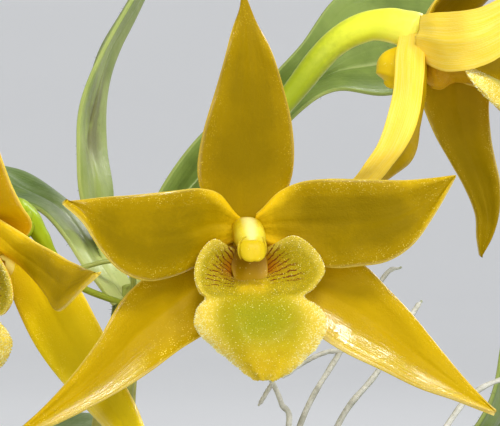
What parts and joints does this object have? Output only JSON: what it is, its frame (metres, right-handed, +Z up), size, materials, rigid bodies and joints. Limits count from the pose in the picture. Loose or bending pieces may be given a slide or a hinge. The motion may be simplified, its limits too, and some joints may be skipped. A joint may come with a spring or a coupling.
{
  "type": "potted dendrobium trigonopus",
  "caption": "Potted yellow orchid: waxy star-shaped flowers with fringed, green-centred lips, leathery leaves, spindle-shaped stems and silvery roots, in bark in a plain clay pot.",
  "frame": {"origin": "centre of the pot's flat foot, on the surface that it stands on", "axes": "+Z up along the pot's axis, the main flower faces -Y, +X to the right of someone facing that flower"},
  "size_m": [0.1687, 0.122, 0.1822],
  "materials": {
    "clay": "matt unglazed terracotta",
    "bark": "matt fir bark",
    "root": "matt silver-grey velamen",
    "stem": "satin, ridged",
    "leaf": "satin",
    "pedicel": "waxy",
    "sepal": "glossy wax",
    "petal": "waxy",
    "lip": "papillose, waxy",
    "column": "waxy",
    "anther": "waxy"
  },
  "bodies": {
    "root": {"pot": "clay", "bark": "bark", "rhizome_and_roots": "root", "pseudobulb_1": "stem", "pseudobulb_2": "stem", "pseudobulb_3": "stem", "pseudobulb_4": "stem", "pseudobulb_5": "stem", "pseudobulb_6": "stem", "leaf_1_left": "leaf", "leaf_1_right": "leaf", "leaf_1_up": "leaf", "leaf_3_back": "leaf", "leaf_3_right": "leaf", "leaf_3_up": "leaf", "leaf_4_back": "leaf", "leaf_4_left": "leaf", "leaf_4_up": "leaf", "leaf_5_front": "leaf", "leaf_5_left": "leaf", "flower_1_anther_cap": "anther", "flower_1_column": "column", "flower_1_dorsal_sepal": "sepal", "flower_1_left_lateral_sepal": "sepal", "flower_1_left_petal": "petal", "flower_1_lip": "lip", "flower_1_ovary_and_pedicel": "pedicel", "flower_1_right_lateral_sepal": "sepal", "flower_1_right_petal": "petal", "flower_2_anther_cap": "anther", "flower_2_column": "column", "flower_2_dorsal_sepal": "sepal", "flower_2_left_lateral_sepal": "sepal", "flower_2_left_petal": "petal", "flower_2_lip": "lip", "flower_2_ovary_and_pedicel": "pedicel", "flower_2_right_lateral_sepal": "sepal", "flower_2_right_petal": "petal", "flower_3_anther_cap": "anther", "flower_3_column": "column", "flower_3_dorsal_sepal": "sepal", "flower_3_left_lateral_sepal": "sepal", "flower_3_left_petal": "petal", "flower_3_lip": "lip", "flower_3_ovary_and_pedicel": "pedicel", "flower_3_right_lateral_sepal": "sepal", "flower_3_right_petal": "petal"}
  },
  "joints": []
}
